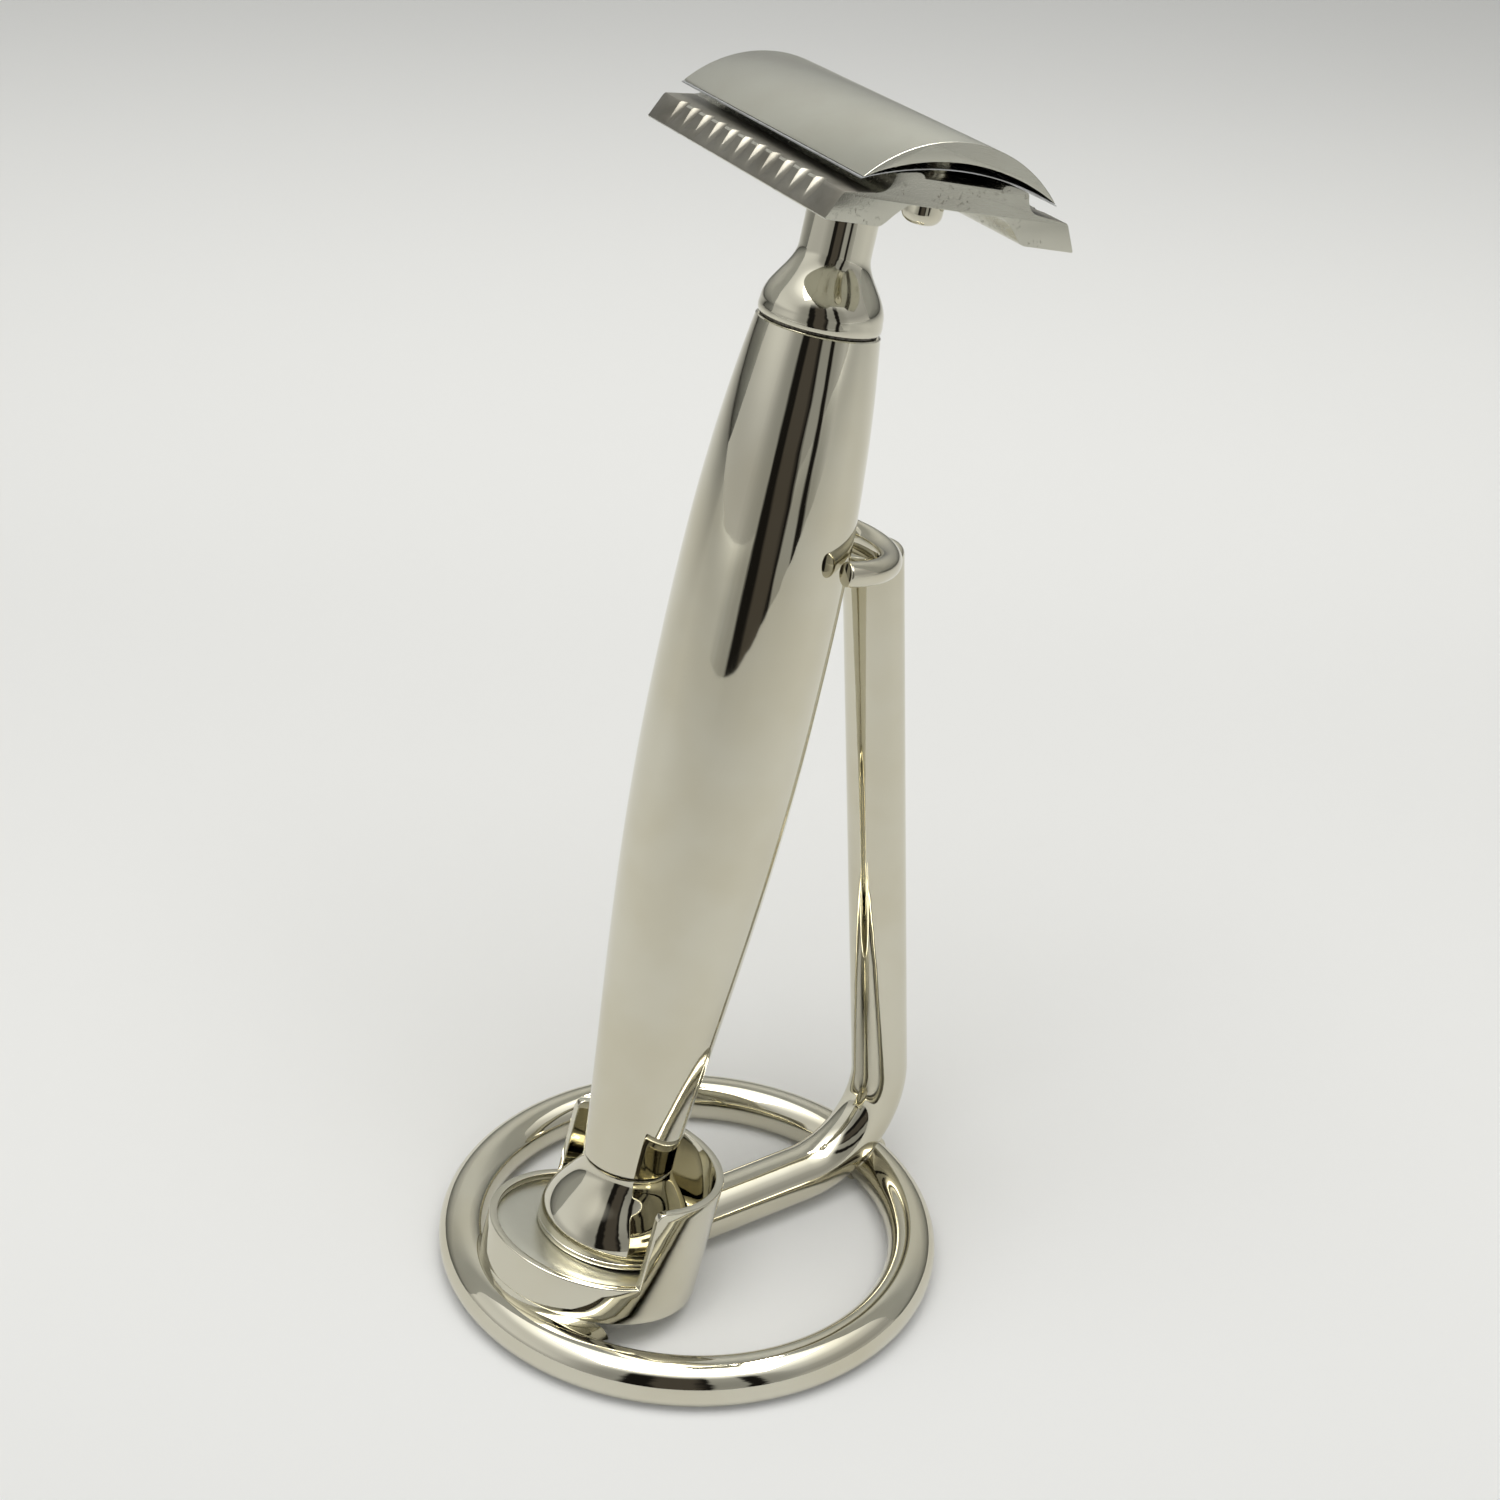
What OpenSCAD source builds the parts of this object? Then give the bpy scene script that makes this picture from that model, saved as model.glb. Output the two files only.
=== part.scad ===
// Razor stand with its razor: a wire ring base, a bent support rod with a C-shaped
// cradle, a tilted foot cup, and a three-piece safety razor standing in it.
// Frame: centre of the ring base at table level, +X from the cup to the post, +Z up.
// All sizes are in millimetres.

/* [Ring base] */
// Radius of the ring's centre line
ring_r = 26.8; // [24:0.1:34]
// Radius of the ring's wire
ring_wire_r = 2.8; // [2:0.1:3.4]
// Depth ground off the underside so that the ring sits flat
ring_flat = 0.15; // [0.1:0.05:0.3]

/* [Support rod] */
// Radius of the bent rod that is spoke and post in one
rod_r = 3.4; // [2.6:0.1:4]
// Height of the spoke's axis above the table
spoke_z = 4.3; // [4.3:0.1:6]
// Radius of the bend, on the rod's axis
bend_r = 11.4; // [9:0.1:14]
// Distance outside the ring's centre line at which the post's axis would meet the table
post_out = 2.8; // [1.5:0.1:4]
// Rounding of the post's top edge
post_edge_r = 0.9; // [0.3:0.1:1.5]

/* [Foot cup] */
// Distance inside the ring's centre line at which the cup's axis crosses the table
cup_in = 11.8; // [11:0.1:12.5]
// Tilt of the cup towards the post, in degrees
cup_tilt = 13.6; // [11:0.1:14]
// Outer radius of the cup
cup_r = 12.75; // [11.5:0.05:14]
// Thickness of the cup's wall
cup_wall_t = 1; // [0.7:0.1:1.4]
// Distance from the table to the cup's underside, along its axis
cup_bottom = 3.7; // [3.4:0.1:4.4]
// Height of the low front rim above the underside
cup_low = 4.6; // [4:0.1:5]
// Height of the tall rear rim above the underside
cup_tall = 14.5; // [11:0.1:17]
// Depth of the floor below the low rim
cup_recess = 0.7; // [0.3:0.1:1.5]
// Turn of the tall wall about the cup's axis, in degrees
cup_turn = -11; // [-20:1:20]

/* [Cradle] */
// Radius of the cradle's wire
fork_wire_r = 1.35; // [1:0.05:1.6]
// Height of the cradle above the table, along the razor's axis
fork_s = 92.8; // [72:0.1:96]
// How much the cradle's centre line is wider than the barrel there
fork_room = 1.23; // [1.1:0.01:1.5]
// Half of the angle that the cradle spans
fork_half = 97; // [80:1:104]

/* [Razor in the stand] */
// Distance from the cup's axis to the razor's axis, on the table
razor_in = 2.7; // [2:0.1:3.4]
// Lean of the razor towards the post, in degrees
razor_lean = 10.9; // [9:0.1:12]
// Height of the foot's underside above the table crossing, along the razor's axis
foot_s = 7.4; // [7.4:0.1:8.5]
// Turn of the head about the razor's axis, in degrees
head_turn = -11.8; // [-45:0.1:45]

/* [Razor handle] */
// Radius of the bell foot's rim
bell_r = 8.9; // [8:0.1:9.2]
// Radius of the foot's neck, where it meets the barrel
bell_neck_r = 5.2; // [4.8:0.1:5.6]
// Height of the bell foot
bell_h = 9.6; // [9:0.1:12]
// Largest radius of the barrel
barrel_r = 9.05; // [8:0.05:9.2]
// Radius of the barrel's lower end
barrel_foot_r = 5.35; // [5:0.05:6]
// Radius of the barrel's upper end
barrel_top_r = 6.5; // [6:0.1:7.2]
// Length of the barrel
barrel_h = 99; // [80:0.1:105]
// Height of the barrel's widest place above its lower end
barrel_wide = 58; // [48:0.5:62]
// Thickness of the two seam washers
seam_t = 0.3; // [0.2:0.05:0.5]
// Radius of the bore through the barrel
barrel_bore_r = 3.6; // [3.2:0.1:4]
// Radius of the rod that ties the handle together
tie_r = 2.5; // [2:0.1:2.8]
// Largest radius of the top collar
collar_r = 6.4; // [6:0.1:7]
// Radius of the collar's neck
neck_r = 3.75; // [3.5:0.05:4.2]
// Height of the top collar
collar_h = 14.9; // [13:0.1:17]

/* [Razor head] */
// Length of the guard along the edges
guard_l = 42.9; // [41:0.1:44]
// Width of the guard across its bottom corners
guard_w = 27; // [25:0.1:28]
// Length of the cap
cap_l = 42.5; // [41:0.1:43.5]
// Width of the cap across its edges
cap_w = 20.8; // [20:0.1:21]
// Outer radius of the cap's arch
cap_r = 14.4; // [13.5:0.1:16]
// Radius of the cap's hollow underside
cap_under_r = 23; // [21:0.1:26]
// Height of the cap's edges above the guard's underside
cap_edge_h = 4.25; // [4.25:0.05:4.6]
// Thickness of the blade
blade_t = 0.1; // [0.1:0.01:0.15]
// Width of the blade across its edges, as bent
blade_w = 21.2; // [20:0.1:22]
// Radius that the clamped blade is bent to
blade_r = 30.6; // [28:0.1:34]
// Radius of the cap's stud
stud_r = 2.5; // [2:0.05:2.8]
// Depth of the stud in the handle
stud_depth = 9; // [6:0.1:10]
// Radius of the cap's two locating pins
pin_r = 2; // [1.5:0.05:2.2]
// Distance of the locating pins from the stud
pin_x = 15.1; // [12:0.1:16]
// Number of scallops along each side of the guard
scallops = 11; // [7:2:13]
// Spacing of the scallops
scallop_pitch = 3.25; // [3:0.05:3.4]

/* [Fits] */
// Radial clearance of the stud and pins in their holes
hole_gap = 0.1; // [0.05:0.01:0.2]
// Radial clearance of the stud in the collar's thread
thread_gap = 0.04; // [0.02:0.01:0.08]
// Gap between the blade and the parts that clamp it
blade_gap = 0.03; // [0.02:0.01:0.05]
// Gap between the handle and the cradle
cradle_gap = 0.15; // [0.1:0.05:0.3]

/* [Hidden] */
$fn = 96;

ring_z = ring_wire_r - ring_flat;
braze_r = 0.6;
braze_inset = 0.1;
joint_zone = 4 * ring_wire_r;

// How far a cutter reaches past the surface that it cuts
over = 1;

// The cup, measured along its own axis
cup_x = cup_in - ring_r;
razor_x = cup_x + razor_in;
cup_in_r = cup_r - cup_wall_t;
cup_floor_t = cup_low - cup_recess;
cup_below = 3;
cup_braze_h = 1.7;
spoke_x = cup_x + cup_in_r;

// The razor, measured along its own axis from the foot's underside
seam1_h = bell_h;
barrel_z = seam1_h + seam_t;
barrel_end = barrel_z + barrel_h;
collar_z = barrel_end + seam_t;
collar_end = collar_z + collar_h;
seam_groove = 0.3;
edge_step = 0.2;
curve_steps = 18;
barrel_steps = 44;
low_swell = 1.2;
high_swell = 2.6;
bell_hollow_h = 2.6;
bell_hollow_r = bell_r - 1.6;
bell_core_r = 5.6;
bell_flare = 1.15;
plug_r = 4.4;
plug_h = 0.8;
nut_gap = 0.15;
nut_h = 2.4;
nut_r = 4;
nut_z = plug_h + nut_gap;
tie_grip = 2;
tie_end = collar_z + tie_grip;
shoulder_h = 1.2;
shoulder_rise = 6.2;
seat_h = 0.6;

// The head, measured from the guard's underside and along the guard
rail_in = 7.8;
rail_h = 2.6;
rail_rise = 3.05;
rail_top_w = 8.3;
lean_in = 1.3;
ridge_out = 7.2;
ridge_in = 4.9;
ridge_foot = 0.4;
ridge_foot_h = 3.6;
ridge_drop = 0.35;
recess_step = 0.7;
under_slope = 2.6;
ridge_h = 5.4;
plate_h = 4.88;
plate_under = 2.35;
cap_top_h = cap_edge_h + sagitta(cap_r, cap_w / 2);
cap_under_h = cap_edge_h + sagitta(cap_under_r, cap_w / 2);
blade_top_h = cap_edge_h - blade_gap + sagitta(blade_r, cap_w / 2);
blade_l = 42.3;
hole_room = 0.35;
scallop_r = 1.15;
scallop_out = 1.6;
scallop_lean = 39;
scallop_h = 5.5;
seat_r = neck_r + 0.4;
stud_grip = 1;
pin_grip = 0.6;
pin_down = 0.4;
pin_edge_r = 0.95;

// Cradle: a circle arc in a plane across the razor, touching the barrel with its two ends
barrel_at_fork = barrel_radius(fork_s - foot_s - barrel_z);
fork_r = barrel_at_fork + fork_room;
fork_reach = barrel_at_fork + cradle_gap + fork_wire_r;
fork_shift = fork_r * (-cos(fork_half)) + sqrt(pow(fork_reach, 2) - pow(fork_r * sin(fork_half), 2));

// The back of the cradle, which fixes the post's top and its lean
hook_in = 0.62;
hook_sink = 1;
hook_reach = fork_shift + fork_r;
hook_x = razor_x + fork_s * sin(razor_lean) + hook_reach * cos(razor_lean);
post_top = fork_s * cos(razor_lean) - hook_reach * sin(razor_lean) - hook_sink;
post_x = ring_r + post_out;
post_lean = atan((post_x - hook_x - hook_in) / post_top);

// The bent rod: the corner where the spoke's and the post's axes meet
bend_lap = 0.4;
bend_thin = 0.03;
post_slope = tan(post_lean);
turn = 90 + post_lean;
corner_x = post_x - post_slope * spoke_z;
bend_reach = bend_r * tan(turn / 2);
bend_x = corner_x - bend_reach;
bend_z = spoke_z + bend_r;
post_base_z = bend_z + bend_r * sin(post_lean);
post_len = (post_top - post_base_z) / cos(post_lean) + bend_lap;

function sagitta(r, half) = r - sqrt(r * r - half * half);

// Barrel profile: two sine-like halves that meet at the widest place
function barrel_radius(h) = h < barrel_wide
    ? barrel_foot_r + (barrel_r - barrel_foot_r) * pow(sin(90 * h / barrel_wide), low_swell)
    : barrel_r - (barrel_r - barrel_top_r) * pow((h - barrel_wide) / (barrel_h - barrel_wide), high_swell);

// Bell and collar profiles: half a cosine wave between the wide and the narrow end
function bell_radius(t) = bell_neck_r + (bell_r - bell_neck_r) * (1 + cos(180 * pow(t, bell_flare))) / 2;
function collar_radius(t) = neck_r + (collar_r - neck_r) * (1 + cos(180 * t)) / 2;

// Places its children on the razor's axis, with z along the razor from the foot's underside
module on_razor() {
    translate([razor_x, 0, 0]) rotate([0, razor_lean, 0]) translate([0, 0, foot_s]) children();
}

// Places its children in the head: x along the guard's width, y along its length
module on_head() {
    on_razor() translate([0, 0, collar_end - seat_h]) rotate([0, 0, head_turn]) children();
}

module on_cup() {
    translate([cup_x, 0, 0]) rotate([0, cup_tilt, 0]) translate([0, 0, cup_bottom]) children();
}

module ring_wire(grow = 0) {
    translate([0, 0, ring_z]) rotate_extrude($fn = 180)
        translate([ring_r, 0]) circle(r = ring_wire_r + grow);
}

module rod_bend(r) {
    translate([bend_x, 0, bend_z]) rotate([90, 0, 0]) rotate([0, 0, -90])
        rotate_extrude(angle = turn) translate([bend_r, 0]) circle(r = r);
}

// Places its children on the post's axis, with z along the post from the end of the bend
module on_post() {
    translate([bend_x, 0, bend_z]) rotate([0, -post_lean, 0]) translate([bend_r, 0, 0]) children();
}

// A round bar whose upper end has a rounded edge
module round_bar(r, long, edge_r) {
    rotate_extrude() {
        square([r, long - edge_r]);
        square([r - edge_r, long]);
        translate([r - edge_r, long - edge_r]) circle(r = edge_r, $fn = 48);
    }
}

module cup_cylinder(r, from_h, to_h) {
    on_cup() translate([0, 0, from_h]) cylinder(r = r, h = to_h - from_h);
}

module ring_base() {
    color("#c9c5b8") difference() {
        ring_wire();
        translate([0, 0, -ring_wire_r]) cylinder(r = 2 * ring_r, h = ring_wire_r);
        rod_bend(rod_r);
    }
}

// Spoke, bend and post as one bent bar, drawn slightly thinner where it is bent
module support_rod() {
    color("#c9c5b8") difference() {
        union() {
            translate([spoke_x, 0, spoke_z]) rotate([0, 90, 0])
                cylinder(r = rod_r, h = bend_x + bend_lap - spoke_x);
            rod_bend(rod_r - bend_thin);
            on_post() translate([0, 0, -bend_lap]) round_bar(rod_r, post_len, post_edge_r);
        }
        cup_cylinder(cup_r, -cup_below, cup_tall);
    }
}

// Filler metal that stands as a bead all round the joint of the ring and the bend
module post_braze() {
    color("#bdb8aa") difference() {
        intersection() {
            ring_wire(braze_r);
            rod_bend(rod_r + braze_r);
            translate([ring_r, 0, ring_z]) sphere(r = joint_zone, $fn = 48);
        }
        ring_wire();
        rod_bend(rod_r);
    }
}

// Filler metal that carries the cup on top of the ring
module cup_braze() {
    color("#bdb8aa") difference() {
        intersection() {
            ring_wire(cup_braze_h);
            cup_cylinder(cup_r - braze_inset, -cup_below, 0);
        }
        ring_wire();
        translate([-2 * ring_r, -2 * ring_r, 0]) cube([4 * ring_r, 4 * ring_r, ring_z]);
    }
}

// Cradle: an open wire hook whose back is flattened where it sits on the post
module cradle_fork() {
    color("#c9c5b8") difference() {
        on_razor() translate([fork_shift, 0, fork_s - foot_s])
            rotate([0, 0, -fork_half]) rotate_extrude(angle = 2 * fork_half)
                translate([fork_r, 0]) circle(r = fork_wire_r, $fn = 48);
        on_post() translate([-2 * rod_r, -2 * rod_r, 0]) cube([4 * rod_r, 4 * rod_r, post_len - bend_lap]);
    }
}

// Tube that stands tall behind the foot and is cut down to a low rim in front
module cup_wall() {
    color("#c9c5b8") on_cup() difference() {
        cylinder(r = cup_r, h = cup_tall);
        translate([0, 0, -over]) cylinder(r = cup_in_r, h = cup_tall + 2 * over);
        rotate([0, 0, cup_turn]) translate([-2 * cup_r, -2 * cup_r, cup_low])
            cube([2 * cup_r, 4 * cup_r, cup_tall]);
    }
}

module cup_floor() {
    color("#b7b4aa") on_cup() cylinder(r = cup_in_r, h = cup_floor_t);
}

// Bell foot: an S-shaped flare, hollow below, with a core that holds the nut and the plug
module bell_foot() {
    color("#cfccc0") on_razor() difference() {
        rotate_extrude() polygon(concat(
            [[0, 0], [bell_r - edge_step, 0]],
            [for (i = [0 : curve_steps]) let (t = i / curve_steps)
                [bell_radius(t), edge_step + (bell_h - edge_step) * t]],
            [[0, bell_h]]));
        translate([0, 0, -over]) difference() {
            cylinder(r = bell_hollow_r, h = over + bell_hollow_h);
            cylinder(r = bell_core_r, h = 2 * over + bell_hollow_h);
        }
        translate([0, 0, -over]) cylinder(r = plug_r, h = over + nut_z + nut_h);
        translate([0, 0, -over]) cylinder(r = tie_r, h = bell_h + 2 * over);
    }
}

// Round plug that closes the recess below the lock nut
module foot_plug() {
    color("#3a3a3a") on_razor() cylinder(r = plug_r, h = plug_h);
}

module lock_nut() {
    color("#b9a26a") on_razor() translate([0, 0, nut_z]) difference() {
        cylinder(r = nut_r, h = nut_h, $fn = 6);
        translate([0, 0, -over]) cylinder(r = tie_r, h = nut_h + 2 * over);
    }
}

module seam_ring(outer, inner) {
    difference() {
        cylinder(r = outer, h = seam_t);
        translate([0, 0, -over]) cylinder(r = inner, h = seam_t + 2 * over);
    }
}

module foot_seam_ring() {
    color("#6f6c62") on_razor() translate([0, 0, seam1_h]) seam_ring(bell_neck_r - seam_groove, tie_r);
}

// Barrel: a long swelling tube with a plain bore
module handle_barrel() {
    color("#d2cfc3") on_razor() translate([0, 0, barrel_z]) difference() {
        rotate_extrude() polygon(concat(
            [[0, 0]],
            [for (i = [0 : barrel_steps]) let (h = barrel_h * i / barrel_steps) [barrel_radius(h), h]],
            [[0, barrel_h]]));
        translate([0, 0, -over]) cylinder(r = barrel_bore_r, h = barrel_h + 2 * over);
    }
}

module top_seam_ring() {
    color("#6f6c62") on_razor() translate([0, 0, barrel_end]) seam_ring(collar_r - seam_groove, tie_r);
}

// Collar: a rounded shoulder that sweeps in to a plain neck, drilled from both ends
module top_collar() {
    color("#cfccc0") on_razor() translate([0, 0, collar_z]) difference() {
        rotate_extrude() polygon(concat(
            [[0, 0], [collar_r - edge_step, 0], [collar_r, edge_step]],
            [for (i = [0 : curve_steps]) let (t = i / curve_steps)
                [collar_radius(t), shoulder_h + shoulder_rise * t]],
            [[neck_r, collar_h], [0, collar_h]]));
        translate([0, 0, -over]) cylinder(r = tie_r, h = over + tie_grip);
        translate([0, 0, collar_h - seat_h - stud_depth - stud_grip])
            cylinder(r = stud_r + thread_gap, h = stud_depth + seat_h + 2 * stud_grip);
    }
}

module tie_rod() {
    color("#b9a26a") on_razor() translate([0, 0, nut_z]) cylinder(r = tie_r, h = tie_end - nut_z);
}

// Guard cross-section: the right half, from the rail's foot to the recess, and its mirror image
module guard_profile() {
    half = guard_w / 2;
    right = [[rail_in, 0], [half, 0], [half - lean_in, rail_h], [rail_top_w, rail_rise],
             [ridge_out + ridge_foot, ridge_foot_h], [ridge_out, ridge_h - ridge_drop],
             [ridge_in, ridge_h], [ridge_in - recess_step, plate_h]];
    left = [for (i = [len(right) - 1 : -1 : 0]) [-right[i][0], right[i][1]]];
    under = [[under_slope - rail_in, plate_under], [rail_in - under_slope, plate_under]];
    polygon(concat(right, left, under));
}

// Scallop cutter: a bar that dips into the rail's slanted face and runs out towards its foot
module scallop_cutter(side) {
    translate([side * (guard_w / 2 + scallop_out), 0, 0]) rotate([0, -side * scallop_lean, 0])
        cylinder(r = scallop_r, h = scallop_h, $fn = 32);
}

module guard_plate() {
    color("#c6c3b8") on_head() difference() {
        union() {
            translate([0, guard_l / 2, 0]) rotate([90, 0, 0]) linear_extrude(guard_l) guard_profile();
            translate([0, 0, seat_h]) cylinder(r = seat_r, h = plate_h - seat_h);
        }
        translate([0, 0, -over]) cylinder(r = stud_r + hole_gap, h = ridge_h + 2 * over);
        for (side = [-1, 1]) translate([0, side * pin_x, -over])
            cylinder(r = pin_r + hole_gap, h = ridge_h + 2 * over);
        for (side = [-1, 1], i = [0 : scallops - 1])
            translate([0, (i - (scallops - 1) / 2) * scallop_pitch, 0]) scallop_cutter(side);
    }
}

// Blade: a thin strip bent over the guard's ridges, with a hole for the stud and each pin
module blade() {
    color("#9aa0a6") on_head() difference() {
        translate([0, blade_l / 2, 0]) rotate([90, 0, 0]) intersection() {
            translate([0, blade_top_h - blade_r, 0]) difference() {
                cylinder(r = blade_r, h = blade_l, $fn = 240);
                translate([0, 0, -over]) cylinder(r = blade_r - blade_t, h = blade_l + 2 * over, $fn = 240);
            }
            translate([-blade_w / 2, 0, 0]) cube([blade_w, 2 * cap_top_h, blade_l]);
        }
        cylinder(r = stud_r + hole_room, h = cap_top_h);
        for (side = [-1, 1]) translate([0, side * pin_x, 0]) cylinder(r = pin_r + hole_room, h = cap_top_h);
    }
}

// Cap: a lens-shaped arch with sharp long edges
module cap_plate() {
    color("#cfccc0") on_head() difference() {
        translate([0, cap_l / 2, 0]) rotate([90, 0, 0]) intersection() {
            translate([0, cap_top_h - cap_r, 0]) cylinder(r = cap_r, h = cap_l, $fn = 180);
            translate([-cap_w / 2, cap_edge_h, 0]) cube([cap_w, cap_top_h, cap_l]);
            difference() {
                translate([-cap_w, 0, 0]) cube([2 * cap_w, 2 * cap_top_h, cap_l]);
                translate([0, cap_under_h - cap_under_r, -over])
                    cylinder(r = cap_under_r, h = cap_l + 2 * over, $fn = 240);
            }
        }
        cylinder(r = stud_r, h = cap_under_h + stud_grip);
        for (side = [-1, 1]) translate([0, side * pin_x, 0]) cylinder(r = pin_r, h = cap_under_h + pin_grip);
    }
}

module cap_stud() {
    color("#b8b4a8") on_head() translate([0, 0, -stud_depth])
        cylinder(r = stud_r, h = stud_depth + cap_under_h + stud_grip);
}

// Pins: two round bars with rounded lower ends that reach through the blade and the guard
module cap_pins() {
    pin_top = cap_under_h + pin_grip;
    color("#b8b4a8") on_head() for (side = [-1, 1]) translate([0, side * pin_x, pin_top])
        rotate([180, 0, 0]) round_bar(pin_r, pin_top + pin_down, pin_edge_r);
}

ring_base();
support_rod();
post_braze();
cradle_fork();
cup_wall();
cup_floor();
cup_braze();
bell_foot();
foot_plug();
foot_seam_ring();
handle_barrel();
top_seam_ring();
top_collar();
tie_rod();
lock_nut();
guard_plate();
blade();
cap_plate();
cap_stud();
cap_pins();
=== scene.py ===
"""Looks of a razor stand: a wire ring base, a bent rod with an open cradle, a tilted foot cup,
and the three-piece safety razor that leans in it.

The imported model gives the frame. Every shiny piece is modelled here again as a smooth mesh at
the same place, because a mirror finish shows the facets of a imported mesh.
"""
import logging
import math
from dataclasses import dataclass, field
from enum import Enum
from typing import Callable, Dict, List, Optional, Sequence, Tuple, Union

import bpy
from mathutils import Matrix, Vector


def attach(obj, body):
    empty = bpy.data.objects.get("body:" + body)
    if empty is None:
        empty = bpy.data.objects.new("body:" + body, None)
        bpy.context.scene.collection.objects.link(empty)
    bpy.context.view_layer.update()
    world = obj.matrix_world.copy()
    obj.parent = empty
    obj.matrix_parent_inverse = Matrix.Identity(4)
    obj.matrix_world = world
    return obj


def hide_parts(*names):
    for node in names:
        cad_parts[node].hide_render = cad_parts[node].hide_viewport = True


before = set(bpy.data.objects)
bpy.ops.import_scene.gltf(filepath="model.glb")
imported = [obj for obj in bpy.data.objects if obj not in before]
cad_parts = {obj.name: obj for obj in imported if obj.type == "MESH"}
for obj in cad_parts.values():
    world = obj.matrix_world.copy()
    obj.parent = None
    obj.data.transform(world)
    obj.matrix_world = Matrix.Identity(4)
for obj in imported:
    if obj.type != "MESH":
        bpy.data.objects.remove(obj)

logging.basicConfig(level=logging.INFO, format="%(message)s")
LOG = logging.getLogger("razor_stand")

MM = 0.001
POLE_R = 0.002
BACKWARD = (0.593, 0.805, 0.0)
LEFTWARD = (-0.805, 0.593, 0.0)
Colour = Tuple[float, float, float, float]
Outline = List[Tuple[float, float]]


class Body(Enum):
    """The rigid bodies that pieces ride on."""

    STAND = "stand"
    HANDLE = "handle"
    GUARD = "guard"
    BLADE = "blade"
    CAP = "cap"


class Slot(Enum):
    """The record's material slots."""

    POLISHED = "polished_nickel"
    SATIN = "satin_nickel"
    SEAM = "seam_steel"
    BLADE = "blade_steel"
    BRASS = "brass_core"
    PLUG = "black_plug"


# ---------------------------------------------------------------- shader arithmetic


class Wave:
    """A node's output socket that can be used in plain arithmetic."""

    def __init__(self, tree: bpy.types.NodeTree, socket: bpy.types.NodeSocket) -> None:
        """Keeps the tree and the socket.

        Args:
            tree: node tree that the socket belongs to.
            socket: output socket that is wrapped.
        """
        self.tree = tree
        self.socket = socket

    def _math(self, operation: str, *values: Union["Wave", float]) -> "Wave":
        """Adds one Math node.

        Args:
            operation: the Math node's operation.
            values: its inputs in order, numbers or sockets.

        Returns:
            The node's result.
        """
        node = self.tree.nodes.new("ShaderNodeMath")
        node.operation = operation
        for index, value in enumerate(values):
            if isinstance(value, Wave):
                self.tree.links.new(value.socket, node.inputs[index])
            else:
                node.inputs[index].default_value = value
        return Wave(self.tree, node.outputs[0])

    def __add__(self, other: Union["Wave", float]) -> "Wave":
        """Returns self + other."""
        return self._math("ADD", self, other)

    def __radd__(self, other: float) -> "Wave":
        """Returns other + self."""
        return self._math("ADD", other, self)

    def __sub__(self, other: Union["Wave", float]) -> "Wave":
        """Returns self - other."""
        return self._math("SUBTRACT", self, other)

    def __rsub__(self, other: float) -> "Wave":
        """Returns other - self."""
        return self._math("SUBTRACT", other, self)

    def __mul__(self, other: Union["Wave", float]) -> "Wave":
        """Returns self * other."""
        return self._math("MULTIPLY", self, other)

    def __rmul__(self, other: float) -> "Wave":
        """Returns other * self."""
        return self._math("MULTIPLY", other, self)

    def band(self, low: float, high: float) -> "Wave":
        """Returns 0 below low, 1 above high, and a smooth rise between them."""
        node = self.tree.nodes.new("ShaderNodeMapRange")
        node.interpolation_type = "SMOOTHSTEP"
        self.tree.links.new(self.socket, node.inputs["Value"])
        node.inputs["From Min"].default_value = low
        node.inputs["From Max"].default_value = high
        return Wave(self.tree, node.outputs["Result"])


Feed = Union[Wave, float, Sequence[float]]
Feeds = Dict[Union[str, int], Feed]


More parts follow.
